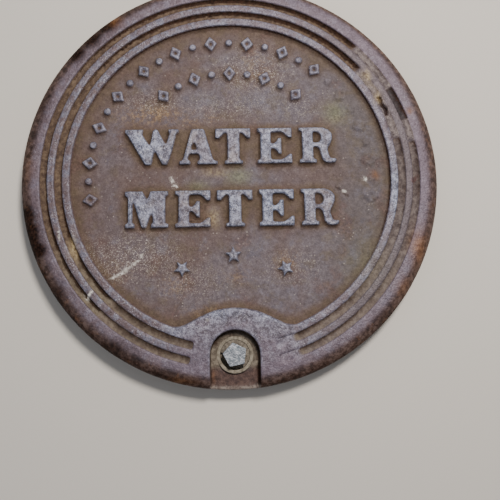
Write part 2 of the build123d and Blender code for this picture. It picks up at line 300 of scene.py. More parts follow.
castCoats = [
    # tone, mottle, where it lies, strength; each lies over the ones before it
    # the sunk field
    ("brown", "soft", [], 1.0),
    ("lilac", "soft", ["open", "openCloud"], 0.7),
    ("lilac", "soft", ["lilac"], 0.95),
    ("west", "soft", ["west"], 0.55),
    ("east", "soft", ["east"], 0.85),
    ("olive", "soft", ["oliveCloud"], 0.4),
    ("slate", "soft", ["slateCloud", "open"], 0.4),
    ("brown", "soft", ["bare"], 0.8),
    ("halo", "soft", ["halo"], 0.5),
    ("halo", "soft", ["halo", "haloCloud"], 0.65),
    ("redBrown", "fine", ["rustCloud"], 0.4),
    ("rust", "fine", ["rust", "rustGrain"], 0.75),
    ("darkGrain", "fine", ["darkSpots", "saltCloud"], 0.35),
    ("paleGrain", "fine", ["fewSpots", "saltCloud", "open"], 0.55),
    ("paleGrain", "fine", ["paleSpots", "salt"], 0.85),
    ("paleGrain", "mottle", ["fewSpots", "salt"], 0.9),
    # rings and studs, then the letters and the pad, which the sole of every shoe has rubbed
    ("ring", "soft", ["raised"], 0.95),
    ("redBrown", "soft", ["raised", "brownCloud"], 0.55),
    ("west", "soft", ["raised", "west"], 0.5),
    ("blue", "soft", ["raised", "worn"], 0.4),
    ("letter", "mottle", ["raised", "rubbed"], 0.9),
    ("tan", "mottle", ["raised", "words", "tanCloud"], 0.4),
    ("purple", "mottle", ["raised", "pad", "padCloud"], 0.6),
    ("blue", "mottle", ["raised", "blue"], 0.95),
    ("darkGrain", "fine", ["raised", "darkSpots"], 0.5),
    ("whiteGrain", "fine", ["raised", "paleSpots", "ringGrain"], 0.5),
    ("whiteGrain", "fine", ["raised", "paleSpots", "blue"], 0.6),
    # raised edges lighter: some wear, and a painted highlight
    ("blue", "fine", ["raised", "edge"], 0.5),
    ("purple", "soft", ["raised", "rim"], 0.55),
    ("purple", "soft", ["raised", "purple"], 0.85),
    ("secondRing", "soft", ["raised", "secondRing"], 0.85),
    # silt in the grooves, fillings, and painted shade: black in hollows and along the foot of walls on the
    # side away from the key light
    ("silt", "mottle", ["groove"], 0.9),
    ("paleSilt", "mottle", ["groove", "paleSilt"], 0.8),
    ("filling", "mottle", ["filling"], 0.9),
    ("pit", "mottle", ["pit"], 0.97),
    ("pocketSilt", "mottle", ["pocketSilt"], 0.92),
    ("pocketRust", "mottle", ["pocketRust"], 0.92),
    ("foot", "fine", ["paintedShade"], 0.92),
    ("lip", "fine", ["lip"], 0.8),
    # the rim rolls over into dark rust with scabs
    ("rimSide", "mottle", ["rimSide"], 0.92),
    ("scab", "fine", ["rimSide", "rimPatch", "west"], 0.85),
    ("scab", "fine", ["scab"], 0.92),
    ("orange", "fine", ["rimSide", "orangePatch"], 0.2),
    ("orange", "mottle", ["orange"], 0.7),
    ("lichen", "fine", ["lichen"], 0.6),
    ("yellow", "fine", ["yellow"], 0.75),
    ("redSpot", "fine", ["redSpot"], 0.9),
    ("scratch", "fine", ["scratch", "broken"], 0.97),
    ("foot", "fine", ["crack"], 0.8),
    ("under", "mottle", ["under"], 1.0),
]


def makeCastIron():
    material = bpy.data.materials.new("rustedSandCastIron")
    material.use_nodes = True
    tree = material.node_tree
    shader = tree.nodes["Principled BSDF"]
    place = addNode(tree, "ShaderNodeTexCoord", {}).outputs["Object"]
    layers = {}
    for name in surfaceMarks:
        layers[name] = addNode(tree, "ShaderNodeAttribute", {"attribute_name": name}).outputs["Fac"]
    for name, values in castClouds.items():
        layers[name] = blotches(tree, place, *values)
    for name, values in castGrains.items():
        layers[name] = grains(tree, place, *values)
    colour = linear(castTone["brown"][1])
    for tone, pattern, where, strength in castCoats:
        masks = [layers[name] for name in where]
        colour = coat(tree, colour, castTone[tone], layers[pattern], masks, strength)
    tree.links.new(colour, shader.inputs["Base Color"])

    # what stands up is rubbed smoother and shows some metal, and the painted shade and the scabs are dull
    gloss = addNode(tree, "ShaderNodeMapRange", {
        "Value": layers["raised"], "To Min": 0.8, "To Max": 0.55})
    tree.links.new(gloss.outputs[0], shader.inputs["Roughness"])
    black = addNode(tree, "ShaderNodeMath", {
        "operation": "MAXIMUM", 0: layers["scab"], 1: layers["paintedShade"]})
    shine = addNode(tree, "ShaderNodeMapRange", {"Value": black.outputs[0], "To Min": 0.5, "To Max": 0.1})
    tree.links.new(shine.outputs[0], shader.inputs["Specular IOR Level"])
    bare = addNode(tree, "ShaderNodeMath", {"operation": "MULTIPLY", 0: layers["raised"], 1: 0.25})
    tree.links.new(bare.outputs[0], shader.inputs["Metallic"])

    # sand grain and rust pits, finer than the mesh carries
    grain = addNode(tree, "ShaderNodeTexNoise", {"Vector": place, "Scale": 1 / mm, "Detail": 3.0})
    height = addNode(tree, "ShaderNodeMath", {
        "operation": "ADD", 0: grain.outputs["Fac"], 1: layers["fine"]})
    bump = addNode(tree, "ShaderNodeBump", {
        "Strength": 0.55, "Distance": 0.35 * mm, "Height": height.outputs[0]})
    tree.links.new(bump.outputs[0], shader.inputs["Normal"])
    return material


def makeWeathered(name, colours, size, metallic, roughness, grain):
    # a plain weathered finish: two or three tones in clouds of one size, with a grain of another
    material = bpy.data.materials.new(name)
    material.use_nodes = True
    tree = material.node_tree
    shader = tree.nodes["Principled BSDF"]
    place = addNode(tree, "ShaderNodeTexCoord", {}).outputs["Object"]
    cloud = blotches(tree, place, size, 0.25, 0.75, 1.5, 5, 0.65)
    colour = coat(tree, linear(colours[0]), colours, cloud, [])
    tree.links.new(colour, shader.inputs["Base Color"])
    shader.inputs["Metallic"].default_value = metallic
    spread = addNode(tree, "ShaderNodeMapRange", {
        "Value": cloud, "To Min": roughness - 0.1, "To Max": roughness + 0.1})
    tree.links.new(spread.outputs[0], shader.inputs["Roughness"])
    rough = addNode(tree, "ShaderNodeTexNoise", {
        "Vector": place, "Scale": 1 / (grain * mm), "Detail": 3.0})
    bump = addNode(tree, "ShaderNodeBump", {
        "Strength": 0.5, "Distance": 0.2 * mm, "Height": rough.outputs["Fac"]})
    tree.links.new(bump.outputs[0], shader.inputs["Normal"])
    return material


# Steel that the wrench keeps bare: cool grey with bright crossing scratches, and painted black shade below
# the head.

boltTone = {
    "rubbed": ["#666d76", "#79818a", "#8f97a1"],
    "scratch": ["#c3c5d0", "#e6e7ee"],
    "deep": ["#120d0a", "#2a201a"],          # painted shade under the head
    "deepFrom": 21.0,                        # heights between which the grey turns black
    "deepTo": 17.0,
    "scratchTurns": ((38, 2.1), (115, 5.3), (70, 8.4)),     # degrees and seed
}


def makeBoltMetal():
    material = bpy.data.materials.new("wrenchWornSteel")
    material.use_nodes = True
    tree = material.node_tree
    shader = tree.nodes["Principled BSDF"]
    place = addNode(tree, "ShaderNodeTexCoord", {}).outputs["Object"]
    wear = blotches(tree, place, 2.4, 0.3, 0.7, 1.5, 3)
    colour = coat(tree, linear(boltTone["rubbed"][1]), boltTone["rubbed"], wear, [])
    for turn, seed in boltTone["scratchTurns"]:
        along = addNode(tree, "ShaderNodeMapping", {
            "vector_type": "TEXTURE", "Vector": place, "Rotation": (0, 0, math.radians(turn)),
            "Scale": (1.0, 10.0, 1.0)}).outputs[0]
        lines = blotches(tree, along, 0.5, 0.57, 0.63, seed, 2)
        colour = coat(tree, colour, boltTone["scratch"], wear, [lines], 0.85)
    # painted shade: the steel turns black below the head
    height = addNode(tree, "ShaderNodeSeparateXYZ", {"Vector": place}).outputs["Z"]
    deep = addNode(tree, "ShaderNodeMapRange", {
        "Value": height, "From Min": boltTone["deepFrom"] * mm, "From Max": boltTone["deepTo"] * mm})
    colour = coat(tree, colour, boltTone["deep"], wear, [deep.outputs[0]])
    tree.links.new(colour, shader.inputs["Base Color"])
    shader.inputs["Metallic"].default_value = 0.35
    shader.inputs["Roughness"].default_value = 0.5
    return material


castIron = makeCastIron()
boltMetal = makeBoltMetal()
# bronze under a film of dried silt: dull tan
collarBronze = makeWeathered("siltedBronze", ["#6f665a", "#8b8273", "#a59c8d"], 3.0, 0.1, 0.8, 0.7)
# dirt dried hard: dull grey-tan, a little darker than the collar
packedDirt = makeWeathered("packedDirt", ["#5a5249", "#776e63", "#8f867a"], 2.0, 0.0, 0.9, 0.7)
# plain steel in the damp of the box: even dark red-brown
rustedSteel = makeWeathered("rustedSteel", ["#3f2c24", "#563d30", "#6d4d3a"], 3.0, 0.1, 0.8, 0.7)
# the same rust on a rough casting: browner, in larger clouds
rustedDog = makeWeathered("rustedCastDog", ["#3c2c26", "#503930", "#65493a"], 5.0, 0.1, 0.85, 1.0)
print("materials ready")


# Geometry Nodes: the rough skin that sand casting and rust leave

castSkinInputs = {
    "Swell Size": 12.0, "Swell Depth": 0.3,      # long low waves of the sand mould
    "Grain Size": 2.4, "Grain Depth": 0.3,       # sand and rust grain
    "Pit Spacing": 7.0, "Pit Depth": 0.6,        # rust pits
    "Seed": 3.0,
}


def makeSkinTree():
    tree = bpy.data.node_groups.new("castSkin", "GeometryNodeTree")
    tree.interface.new_socket("Geometry", in_out="INPUT", socket_type="NodeSocketGeometry")
    for label, value in castSkinInputs.items():
        socket = tree.interface.new_socket(label, in_out="INPUT", socket_type="NodeSocketFloat")
        socket.default_value = value
    tree.interface.new_socket("Material", in_out="INPUT", socket_type="NodeSocketMaterial")
    tree.interface.new_socket("Geometry", in_out="OUTPUT", socket_type="NodeSocketGeometry")
    given = addNode(tree, "NodeGroupInput", {}).outputs
    place = addNode(tree, "GeometryNodeInputPosition", {}).outputs[0]
    millimetres = addNode(tree, "ShaderNodeVectorMath", {
        "operation": "SCALE", 0: place, "Scale": 1 / mm}).outputs[0]

    heights = []
    for label in ("Swell", "Grain"):
        finer = addNode(tree, "ShaderNodeMath", {
            "operation": "DIVIDE", 0: 1.0, 1: given[label + " Size"]})
        wave = addNode(tree, "ShaderNodeTexNoise", {
            "noise_dimensions": "4D", "Vector": millimetres, "W": given["Seed"],
            "Scale": finer.outputs[0], "Detail": 3.0})
        low = addNode(tree, "ShaderNodeMath", {"operation": "SUBTRACT", 0: wave.outputs["Fac"], 1: 1.0})
        heights.append(addNode(tree, "ShaderNodeMath", {
            "operation": "MULTIPLY", 0: low.outputs[0], 1: given[label + " Depth"]}).outputs[0])
    closer = addNode(tree, "ShaderNodeMath", {"operation": "DIVIDE", 0: 1.0, 1: given["Pit Spacing"]})
    cells = addNode(tree, "ShaderNodeTexVoronoi", {
        "voronoi_dimensions": "4D", "Vector": millimetres, "W": given["Seed"],
        "Scale": closer.outputs[0]})
    dish = addNode(tree, "ShaderNodeMapRange", {
        "interpolation_type": "SMOOTHSTEP", "Value": cells.outputs["Distance"], "From Max": 0.24,
        "To Min": -1.0, "To Max": 0.0})
    some = addNode(tree, "ShaderNodeMapRange", {"Value": cells.outputs["Color"], "From Min": 0.5})
    pit = addNode(tree, "ShaderNodeMath", {
        "operation": "MULTIPLY", 0: dish.outputs[0], 1: some.outputs[0]})
    heights.append(addNode(tree, "ShaderNodeMath", {
        "operation": "MULTIPLY", 0: pit.outputs[0], 1: given["Pit Depth"]}).outputs[0])
    total = addNode(tree, "ShaderNodeMath", {"operation": "ADD", 0: heights[0], 1: heights[1]})
    total = addNode(tree, "ShaderNodeMath", {"operation": "ADD", 0: total.outputs[0], 1: heights[2]})
    inMetres = addNode(tree, "ShaderNodeMath", {"operation": "MULTIPLY", 0: total.outputs[0], 1: mm})
    normal = addNode(tree, "GeometryNodeInputNormal", {}).outputs[0]
    push = addNode(tree, "ShaderNodeVectorMath", {
        "operation": "SCALE", 0: normal, "Scale": inMetres.outputs[0]})
    moved = addNode(tree, "GeometryNodeSetPosition", {
        "Geometry": given["Geometry"], "Offset": push.outputs[0]})
    plain = addNode(tree, "GeometryNodeRealizeInstances", {"Geometry": moved.outputs[0]})
    dressed = addNode(tree, "GeometryNodeSetMaterial", {
        "Geometry": plain.outputs[0], "Material": given["Material"]})
    addNode(tree, "NodeGroupOutput", {"Geometry": dressed.outputs[0]})
    return tree


skinTree = makeSkinTree()
skinSockets = {item.name: item.identifier
               for item in skinTree.interface.items_tree if item.in_out == "INPUT"}


def castSkin(piece, voxel, smoothing, material, changes):
    # voxels fuse the parts and soften every edge, then the tree roughens the surface
    remesh = piece.modifiers.new("voxels", "REMESH")
    remesh.mode = "VOXEL"
    remesh.voxel_size = voxel * mm
    soften = piece.modifiers.new("soften", "SMOOTH")
    soften.factor = 0.5
    soften.iterations = smoothing
    skin = piece.modifiers.new("skin", "NODES")
    skin.node_group = skinTree
    for label, value in dict(castSkinInputs, **changes).items():
        skin[skinSockets[label]] = value
    skin[skinSockets["Material"]] = material
    return baked(piece)


def triangleCount(mesh):
    mesh.calc_loop_triangles()
    return len(mesh.loop_triangles)


def collapsed(piece, share, group=""):
    thin = piece.modifiers.new("thin", "DECIMATE")
    thin.ratio = share
    thin.vertex_group = group
    return baked(piece)


def thinned(piece, triangles, underShare=1.0, underHeight=0.0):
    # fewer faces, and first of all on what faces down or lies low, where this share of them is kept
    count = triangleCount(piece.data)
    if underShare < 1.0:
        normals = np.empty(len(piece.data.vertices) * 3)
        piece.data.vertices.foreach_get("normal", normals)
        hidden = (normals.reshape(-1, 3)[:, 2] < -0.2) | (placesOf(piece.data)[:, 2] < underHeight)
        piece.vertex_groups.new(name="hidden").add(np.nonzero(hidden)[0].tolist(), 1.0, "REPLACE")
        piece = collapsed(piece, 1.0 - (1.0 - underShare) * hidden.mean(), "hidden")
    if triangleCount(piece.data) > triangles:
        piece = collapsed(piece, triangles / triangleCount(piece.data))
    print(piece.name, count, "->", triangleCount(piece.data), "triangles")
    return piece


# The two words on the field, in plain slab capitals that say what the cover is over

words = {
    "relief": 2.5,           # over the field
    "sunk": 1.0,             # under it, so that the casting takes hold of the letter
    "footHeight": 0.7,       # a wider foot gives the fillet
    "footSpread": 0.45,
    "rows": [
        (9.4, [("W", -81.5), ("A", -39.8), ("T", -12.0), ("E", 20.5), ("R", 53.0)]),
        (-39.6, [("M", -81.5), ("E", -43.3), ("T", -11.6), ("E", 20.7), ("R", 53.0)]),
    ],
}

# each letter from its left foot, its outline first and then its eye
letterOutlines = {
    "W": [[(0, 28.6), (14, 28.6), (13.5, 25.8), (13, 24.6), (19, 14.6), (21.3, 27.1), (23, 28.8),
           (25, 28.1), (31, 16.1), (31.7, 16.1), (34, 25.1), (33.5, 26.6), (33.5, 28.6), (41.5, 28.6),
           (41.5, 26.1), (39.5, 25.1), (36, 10.6), (32.5, 0.6), (32, 0), (29, 0), (28, 1.1), (23, 11.1),
           (22, 11.1), (20.5, 1.6), (19.5, 0), (16, 0), (15, 0.6), (1.5, 24.6), (0, 25.9)]],
    "A": [[(0, 0), (0, 2.9), (2.5, 3.6), (9, 27.1), (9.8, 28.6), (18.3, 28.6), (19.5, 27.1), (25.8, 4.6),
           (26.8, 3.1), (29.3, 2.6), (29.3, 0), (13.8, 0), (13.8, 2.6), (15.8, 3.6), (15, 8.4), (7.3, 8.4),
           (6.3, 4.1), (8.5, 2.6), (8.5, 0)],
          [(8.6, 11.6), (10.9, 19.6), (13.8, 11.8)]],
    "T": [[(0, 28.6), (27.3, 28.6), (27.3, 20.6), (24.5, 20.6), (22, 23.6), (20, 25.1), (18.7, 25.1),
           (18.7, 3.1), (21.3, 2.6), (21.3, 0), (7, 0), (7, 2.6), (9.2, 3.1), (9.2, 25.1), (7, 24.9),
           (5.5, 23.6), (3, 20.6), (0, 20.6)]],
    "E": [[(0, 28.6), (27, 28.6), (26.8, 20.6), (24.3, 20.6), (20.5, 24.1), (19, 25.2), (11, 25.2),
           (10.5, 24.1), (10.5, 16.6), (11, 15.9), (13, 15.9), (15.3, 18.1), (16.3, 20.4), (18.8, 20.4),
           (18.8, 7.6), (16.5, 7.6), (14.7, 10.6), (13, 12.1), (10.5, 12.1), (10.5, 3.9), (11.3, 3.2),
           (19, 3.2), (21.5, 4.6), (25, 7.6), (26.8, 7.6), (26.8, 0), (0, 0), (0, 2.9), (2.2, 3.3),
           (2.5, 24.6), (0, 25.6)]],
    "R": [[(0, 28.6), (13, 28.6), (19, 28.4), (23.4, 26.6), (25.9, 23.2), (25.8, 18.6), (24, 14.4),
           (22.5, 12.4), (22.3, 9.6), (23, 6.1), (24.3, 3.9), (26.5, 3.4), (28.3, 3.8), (28.8, 2.1),
           (27.5, 0.2), (24, -0.4), (20.5, 0.1), (17.8, 2.6), (16.9, 6.6), (16, 10.6), (14.5, 12.6),
           (12.5, 13.1), (10.8, 13.1), (10.8, 3.4), (13.5, 2.9), (13.5, 0), (0, 0), (0, 2.9), (2.5, 3.4),
           (2.3, 25.1), (0, 25.9)],
          [(10.8, 24.9), (13.5, 24.9), (16, 23.8), (17.2, 21.2), (17, 18.6), (15.4, 16.5), (12.8, 16.1),
           (10.8, 16.1)]],
    "M": [[(0, 28.5), (13.5, 28.5), (14, 27), (17, 21), (19, 27.5), (19.5, 28.5), (33, 28.5), (33, 25),
           (31, 24.5), (30.5, 3.3), (33, 2.8), (33, 0), (19.5, 0), (20, 3), (21, 3.8), (21.3, 15.8),
           (16.5, 1), (15.7, 0), (13.2, 0), (12.2, 1.5), (6.5, 21), (5.7, 19), (5.7, 4), (7.7, 3),
           (7.7, 0), (0.2, 0), (0.2, 3), (2.3, 4), (2.3, 24), (0, 25)]],
}

fieldTop = 23.0     # height of the sunk field over the plane that the cover rests on
faceTop = 26.0      # height of the rings
lockY = -135.8      # the bolt's axis


def letterPrism(letter, left, baseline, spread, low, high):
    curve = bpy.data.curves.new("letter" + letter, "CURVE")
    curve.dimensions = "2D"
    curve.fill_mode = "BOTH"
    curve.extrude = (high - low) / 2 * mm
    curve.offset = spread * mm
    for outline in letterOutlines[letter]:
        line = curve.splines.new("POLY")
        line.points.add(len(outline) - 1)
        for point, (x, y) in zip(line.points, outline):
            point.co = ((left + x) * mm, (baseline + y) * mm, 0, 1)
        line.use_cyclic_u = True
    piece = baked(meshObject("letter" + letter, curve))
    piece.data.transform(Matrix.Translation((0, 0, (low + high) / 2 * mm)))
    work = bmesh.new()
    work.from_mesh(piece.data)
    bmesh.ops.remove_doubles(work, verts=work.verts, dist=0.005 * mm)
    bmesh.ops.recalc_face_normals(work, faces=work.faces)
    work.to_mesh(piece.data)
    work.free()
    return piece


def letterPrisms():
    low = fieldTop - words["sunk"]
    steps = ((0.0, words["relief"]), (words["footSpread"], words["footHeight"]))
    prisms = []
    for baseline, row in words["rows"]:
        for letter, left in row:
            for spread, height in steps:
                prisms.append(letterPrism(letter, left, baseline, spread, low, fieldTop + height))
    return prisms


# The casting

lightAzimuth = 56.0     # degrees from +X: the key light stands to the upper right, as in the photo

castCover = {
    "voxel": 0.75 if fullWork else 1.5,
    "smoothing": 3,
    "triangles": 190000,
    "underShare": 0.12,      # of the triangles that can't be seen from above
    "underHeight": 12.5,     # what lies lower can't be seen from above either
    "reliefCell": 0.8,       # cell of the height grid that finds hollows and edges
    "reliefHalf": 170.0,     # half its width
    "hollowBlur": 1.8,
    "edgeBlur": 1.4,
    "wallBlur": 0.8,         # for the painted shade at the foot of walls that face away from the key light
    "wallReach": 2.0,
    # for the painted shadow that the pocket's walls throw on its floor
    "pocketWallBlur": 0.9,
    "pocketWallReach": 3.4,
    "haloBlur": 6.0,         # for the rust round the letters
}


def smoothStep(values, low, high):
    share = np.clip((values - low) / (high - low), 0, 1)
    return share * share * (3 - 2 * share)


def setAttribute(mesh, name, values):
    layer = mesh.attributes.new(name, "FLOAT", "POINT")
    layer.data.foreach_set("value", np.clip(values, 0, 1).astype(np.float32))


def gridSpots(places):
    # line and column of each point in a square grid over the cover, seen from above
    half = castCover["reliefHalf"]
    column = ((places[:, 0] + half) / castCover["reliefCell"]).astype(int)
    line = ((places[:, 1] + half) / castCover["reliefCell"]).astype(int)
    return line, column, int(2 * half / castCover["reliefCell"])


def reliefOf(mesh):
    # height of the surface in every cell of that grid, and 0 where there is none
    places = placesOf(mesh)
    line, column, size = gridSpots(places)
    relief = np.zeros((size, size))
    np.maximum.at(relief, (line, column), places[:, 2])
    return relief


def blurAround(places, relief, values, blur, towardLight=0.0):
    # mean of the values round each point, or round the spot that far toward the light
    line, column, size = gridSpots(places)
    frequency = np.fft.fftfreq(size, d=castCover["reliefCell"])
    fall = np.exp(-2 * (math.pi * blur) ** 2 * (frequency[:, None] ** 2 + frequency[None, :] ** 2))
    known = np.where(relief > 0, 1.0, 0.0)
    blurred = [np.real(np.fft.ifft2(np.fft.fft2(layer) * fall)) for layer in (values * known, known)]
    means = blurred[0] / np.maximum(blurred[1], 0.05)
    turn = math.radians(lightAzimuth)
    reach = towardLight / castCover["reliefCell"]
    column = np.clip(column + round(reach * math.cos(turn)), 0, size - 1)
    line = np.clip(line + round(reach * math.sin(turn)), 0, size - 1)
    return means[line, column]


# Where dirt fills the grooves, and the holes left in it, in degrees round the face

groovesAt = {"inner": (129.1, 135.0), "outer": (140.5, 146.0)}
fillings = [
    # groove, from angle, to angle, height left under the rings
    ("inner", 12.0, 40.0, 0.5), ("outer", 10.0, 46.0, 0.5),
    ("inner", -70.0, 12.0, 1.4), ("outer", -70.0, 10.0, 1.4),
    ("inner", -78.0, -70.0, 0.8), ("outer", -78.0, -70.0, 0.8),
    ("inner", -135.0, -101.0, 1.5), ("outer", -135.0, -101.0, 1.5),
]
siltUnder = 1.45        # a filling that lies lower than this under the rings keeps the look of silt
holes = [
    # groove, from angle, to angle, how far across from its middle, depth under the rings
    ("inner", 20.8, 27.8, 1.0, 2.5), ("outer", 17.6, 28.6, 2.4, 1.7),
]
holeWander = {"inner": 0.6, "outer": 0.2}       # how far the holes' sides wander


def angleIn(angle, start, end, fade):
    # 1 inside the range and 0 outside it, in degrees
    return smoothStep(angle, start - fade, start + fade) * (1 - smoothStep(angle, end - fade, end + fade))


def fillGrooves(mesh):
    places = placesOf(mesh)
    x, y, z = places.T
    radius = np.hypot(x, y)
    angle = np.degrees(np.arctan2(y, x))
    for groove, start, end, under in fillings:
        inner, outer = groovesAt[groove]
        inGroove = (radius > inner) & (radius < outer) & (z > fieldTop - 1)
        share = angleIn(angle, start, end, 1.5)
        top = faceTop - under
        for holeGroove, holeStart, holeEnd, half, depth in holes:
            if holeGroove == groove:
                middle = (inner + outer) / 2
                wander = holeWander[groove] * np.sin(np.radians(angle) * 90)
                across = 1 - smoothStep(np.abs(radius - middle + wander), half, half + 0.7)
                top = top + (faceTop - depth - top) * angleIn(angle, holeStart, holeEnd, 0.3) * across
        lifted = np.maximum(z, z + (top - z) * share)
        z = np.where(inGroove, lifted, z)
    places[:, 2] = z
    setPlaces(mesh, places)


pocketSilt = {
    "half": 18.2,           # half the width of the pocket's floor
    "low": 14.0,            # heights between which the floor lies
    "high": 20.0,
    "collar": 13.0,         # from the bolt's axis; the silt starts here
    "top": 19.1,
    "fall": 0.06,           # outward, from this far from the bolt's axis
    "fallFrom": 14.0,
    "fadeFrom": -12.0,      # from the bolt's axis toward the rim
    "fadeTo": -4.0,
}


def fillPocket(mesh):
    # silt lies round the collar, nearly up to its top, on the side away from the rim
    places = placesOf(mesh)
    x, y, z = places.T
    fromLock = np.hypot(x, y - lockY)
    onFloor = (np.abs(x) < pocketSilt["half"]) & (y < lockY + pocketSilt["half"])
    onFloor &= (z > pocketSilt["low"]) & (z < pocketSilt["high"]) & (fromLock > pocketSilt["collar"])
    share = smoothStep(y, lockY + pocketSilt["fadeFrom"], lockY + pocketSilt["fadeTo"])
    siltTop = pocketSilt["top"] - pocketSilt["fall"] * (fromLock - pocketSilt["fallFrom"])
    places[:, 2] = np.where(onFloor, np.maximum(z, z + (siltTop - z) * share), z)
    setPlaces(mesh, places)


studWear = {"from": -14.0, "to": 47.0, "fade": 4.0, "inner": 94.0, "outer": 121.0, "share": 0.62}


def wearStuds(mesh):
    # the studs on the right are worn and rusted down almost to the field
    places = placesOf(mesh)
    x, y, z = places.T
    radius = np.hypot(x, y)
    angle = np.degrees(np.arctan2(y, x))
    share = angleIn(angle, studWear["from"], studWear["to"], studWear["fade"])
    share = share * (radius > studWear["inner"]) * (radius < studWear["outer"]) * (z > fieldTop)
    places[:, 2] = z - (z - fieldTop) * share * studWear["share"]
    setPlaces(mesh, places)


# Marks: numbers from 0 to 1 on every point, by which the cast iron's coats find their places

zones = {
    "top": 19.0,                    # what lies higher is seen from above
    "field": 122.6,                 # radius of the sunk field
    "rollOver": 150.0,              # radius where the rim starts to roll over
    "plate": 4.0,                   # thickness of iron that a point of the underside has over it
    "pad": 48.0,                    # reach of the raised pad from the bolt's axis
    "padInner": 100.0,              # and the radius where it starts
    "pocketHalf": 18.6,             # half the width of the wrench pocket
    "pocketBack": 19.0,             # from the bolt's axis away from the rim
    "pocketLow": 12.5,              # heights between which it is
    "pocketHigh": 22.0,
    "words": (86, -42, 41),         # half width, low and high
    "stars": (50, -82, -52),
}


def inBlock(x, y, block):
    half, low, high = block
    return (np.abs(x) < half) & (y > low) & (y < high)


def lineMark(x, y, lines):
    # on along each line, and off a little beyond its width
    total = np.zeros(len(x))
    for fromX, fromY, toX, toY, width in lines:
        length = math.hypot(toX - fromX, toY - fromY)
        alongX, alongY = (toX - fromX) / length, (toY - fromY) / length
        along = np.clip((x - fromX) * alongX + (y - fromY) * alongY, 0, length)
        away = np.hypot(x - fromX - along * alongX, y - fromY - along * alongY)
        total = np.maximum(total, 1 - smoothStep(away, width * 0.5, width * 1.3))
    return total


def patchMark(x, y, patches):
    # soft ovals, strongest in the middle
    total = np.zeros(len(x))
    for middleX, middleY, reachX, reachY, strength in patches:
        away = ((x - middleX) / reachX) ** 2 + ((y - middleY) / reachY) ** 2
        total = np.maximum(total, strength * np.exp(-away))
    return total


def grooveMark(radius, angle, parts, fade):
    # on in these parts of the two grooves
    total = np.zeros(len(radius))
    for part in parts:
        inner, outer = groovesAt[part[0]]
        inPart = angleIn(angle, part[1], part[2], fade) * (radius > inner) * (radius < outer)
        total = np.maximum(total, inPart)
    return total


